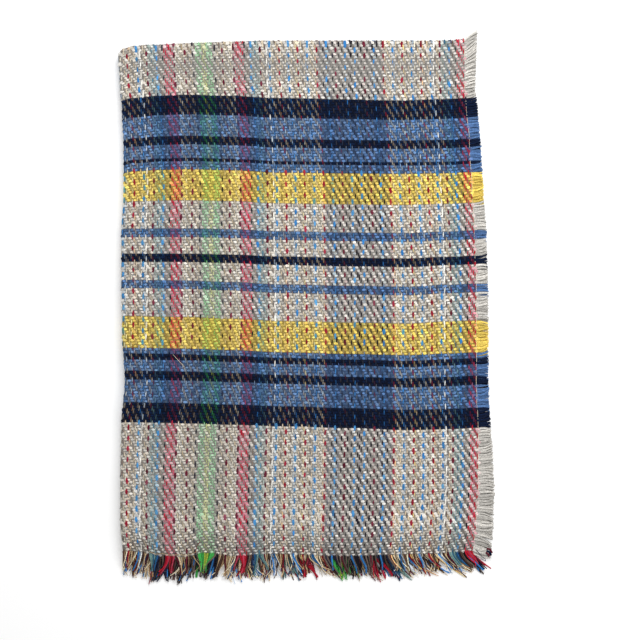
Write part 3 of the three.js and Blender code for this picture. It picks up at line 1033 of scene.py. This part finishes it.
class THROW_OT_end_fringe(bpy.types.Operator):
    """Hang the loose warp ends past both hems"""

    bl_idname = "throw.end_fringe"
    bl_label = "End fringes"

    def execute(self, context):
        sizes = context.scene.throw_sizes
        throw = FoldedThrow(sizes)
        for name, pack in (("upper", -1), ("lower", 1)):
            rng = np.random.default_rng(23 + pack)
            ends = np.arange(-throw.ends, throw.ends)
            thin = np.isin(throw.warp_yarns(ends), THIN_YARNS)
            beside = throw.across_of(ends + 0.5, pack * throw.half_length)
            length = END_FRINGE_REACH[name] * sizes.fringe_length / MM
            locks = np.cumsum(rng.random(len(ends)) < NEW_LOCK)
            bend = np.where(thin, THIN_CURL, THICK_CURL) * rng.standard_normal(len(ends))
            aside, beyond, out = fringe_lines(rng, beside, length, locks, bend, **END_LOCKS)
            on_top = thin & (rng.random(len(ends)) < ON_TOP)
            rise = np.where(on_top, ON_TOP_RISE, -THIN_SINK * thin)
            out = out + rise[:, None] * soft_step(0, 10, beyond)
            radii = tapered(rng, *(np.where(thin, *pair) for pair in zip(THIN_RADII, THICK_RADII)))
            points = throw.point(aside, pack * (throw.half_length + beyond), out)
            colours = heathered(throw.warp_colours(ends), rng, LOOSE_HEATHER["warp"])
            piece = strands_piece(f"warp_ends_{name}", lifted(points, radii), radii, colours)
            mounted(piece, "warp_yarn", f"end_fringe_{name}")
        return {"FINISHED"}


class THROW_OT_side_fringe(bpy.types.Operator):
    """Let the loose weft ends stand past both selvedges"""

    bl_idname = "throw.side_fringe"
    bl_label = "Side fringes"

    def execute(self, context):
        sizes = context.scene.throw_sizes
        throw = FoldedThrow(sizes)
        for name, layer in (("outer", -1), ("inner", 1)):
            rng = np.random.default_rng(31 + layer)
            strands = np.arange(2 * throw.picks * STRANDS_PER_PICK)
            picks = strands // STRANDS_PER_PICK
            beside = throw.along_of((strands + 0.5) / STRANDS_PER_PICK)
            up = throw.half_length - np.abs(beside)
            length = sizes.side_fringe_length / MM * read_table(SIDE_FRINGE, "up", "reach", up)
            drift = 2 * np.sin(beside / SIDE_WAVE["drift_reach"])
            wave = SIDE_WAVE["depth"] * np.sin(beside / SIDE_WAVE["reach"] + drift)
            bend = wave + SIDE_WAVE["spread"] * rng.standard_normal(len(strands))
            aside, beyond, out = fringe_lines(rng, beside, length, picks, bend, **SIDE_LOCKS)
            radii = tapered(rng, *(np.full(len(strands), radius) for radius in SIDE_RADII))
            points = throw.point(layer * (throw.half_width + beyond), aside, out)
            pale = np.isin(throw.weft_yarns(picks), PALE_TAILS)
            shade = np.where(pale, PALE_TAIL_SHADE, 1)[:, None]
            colours = heathered(shade * throw.weft_colours(picks), rng, LOOSE_HEATHER["weft"])
            piece = strands_piece(f"weft_ends_{name}", lifted(points, radii), radii, colours)
            mounted(piece, "weft_yarn", f"side_fringe_{name}")
        return {"FINISHED"}


def thread_line(throw, out, places):
    """A thread laid through places on the top face."""
    right, up = np.array(places, float).T
    at = np.linspace(0, len(places) - 1, THREAD_POINTS)
    stops = np.arange(len(places))
    right, up = np.interp(at, stops, right), np.interp(at, stops, up)
    return throw.point(-right, up - throw.half_length, throw.half_thickness + out)


class THROW_OT_loose_threads(bpy.types.Operator):
    """Lay a few loose threads, the hem's stitching and the thread along the selvedge"""

    bl_idname = "throw.loose_threads"
    bl_label = "Loose threads"

    def execute(self, context):
        throw = FoldedThrow(context.scene.throw_sizes)
        rng = np.random.default_rng(41)
        edge = throw.half_width - SELVEDGE_THREAD["inset"]
        spread = SELVEDGE_THREAD["spread"]
        selvedge = [(edge + spread * rng.standard_normal(), up) for up in range(2, 812, 9)]
        along_edge = tuple(SELVEDGE_THREAD[key] for key in ("yarn", "radius", "out"))
        threads = LOOSE_THREADS + ((*along_edge, selvedge),)
        lines = np.array([thread_line(throw, out, places) for _, _, out, places in threads])
        radii = np.repeat([[radius] for _, radius, _, _ in threads], THREAD_POINTS, axis=1)
        colours = yarn_colours([yarn for yarn, _, _, _ in threads])
        piece = strands_piece("loose_threads", lifted(lines, radii), radii, colours)
        mounted(piece, "warp_yarn")
        return {"FINISHED"}


class THROW_OT_stage(bpy.types.Operator):
    """Set up the floor, the soft studio light and the camera overhead"""

    bl_idname = "throw.stage"
    bl_label = "Stage"

    def execute(self, context):
        scene = context.scene
        floor = bpy.data.meshes.new("opal_table")
        reach = 6.0
        level = -0.1 * MM
        corners = [(-reach, -reach), (reach, -reach), (reach, reach), (-reach, reach)]
        floor.from_pydata([(x, y, level) for x, y in corners], [], [(0, 1, 2, 3)])
        floor.materials.append(floor_material())
        link_new("opal_table", floor)

        world = bpy.data.worlds.new("studio")
        world.use_nodes = True
        background = world.node_tree.nodes["Background"]
        background.inputs["Color"].default_value = linear("ffffff")
        background.inputs["Strength"].default_value = 0.53
        scene.world = world

        for name, place, size, power in (
            ("key_light", (0.1, 1.4, 1.4), 1.0, 24),
            ("side_light", (1.1, -0.1, 1.2), 1.0, 10),
        ):
            light = bpy.data.lights.new(name, "AREA")
            light.size = size
            light.energy = power
            lamp = link_new(name, light)
            lamp.location = place
            lamp.rotation_mode = "QUATERNION"
            lamp.rotation_quaternion = (-Vector(place)).to_track_quat("-Z", "Y")

        camera = link_new("camera", bpy.data.cameras.new("camera"))
        distance = 2.6
        camera.data.sensor_width = 36
        camera.data.lens = camera.data.sensor_width * distance / (VIEW_WIDTH * MM)
        camera.location = (VIEW_MIDDLE[0] * MM, VIEW_MIDDLE[1] * MM, distance)
        scene.camera = camera
        scene.view_settings.view_transform = "Standard"
        return {"FINISHED"}


class THROW_PT_panel(bpy.types.Panel):
    """Sizes, yarns and pieces of the throw"""

    bl_idname = "THROW_PT_panel"
    bl_label = "Wool throw"
    bl_space_type = "VIEW_3D"
    bl_region_type = "UI"
    bl_category = "Wool throw"

    def draw(self, context):
        for group in (context.scene.throw_sizes, context.scene.throw_yarns):
            for name in group.__annotations__:
                self.layout.prop(group, name)
        for operator in OPERATORS:
            self.layout.operator(operator.bl_idname)


OPERATORS = (
    THROW_OT_stage,
    THROW_OT_cloth,
    THROW_OT_end_fringe,
    THROW_OT_side_fringe,
    THROW_OT_loose_threads,
)
CLASSES = (ThrowSizes, ThrowYarns, *OPERATORS, THROW_PT_panel)


def register():
    for cls in CLASSES:
        bpy.utils.register_class(cls)
    bpy.types.Scene.throw_sizes = bpy.props.PointerProperty(type=ThrowSizes)
    bpy.types.Scene.throw_yarns = bpy.props.PointerProperty(type=ThrowYarns)


def unregister():
    del bpy.types.Scene.throw_yarns
    del bpy.types.Scene.throw_sizes
    for cls in reversed(CLASSES):
        bpy.utils.unregister_class(cls)


def main():
    register()
    bpy.ops.throw.stage()
    bpy.ops.throw.cloth()
    bpy.ops.throw.end_fringe()
    bpy.ops.throw.side_fringe()
    bpy.ops.throw.loose_threads()


if __name__ == "__main__":
    main()
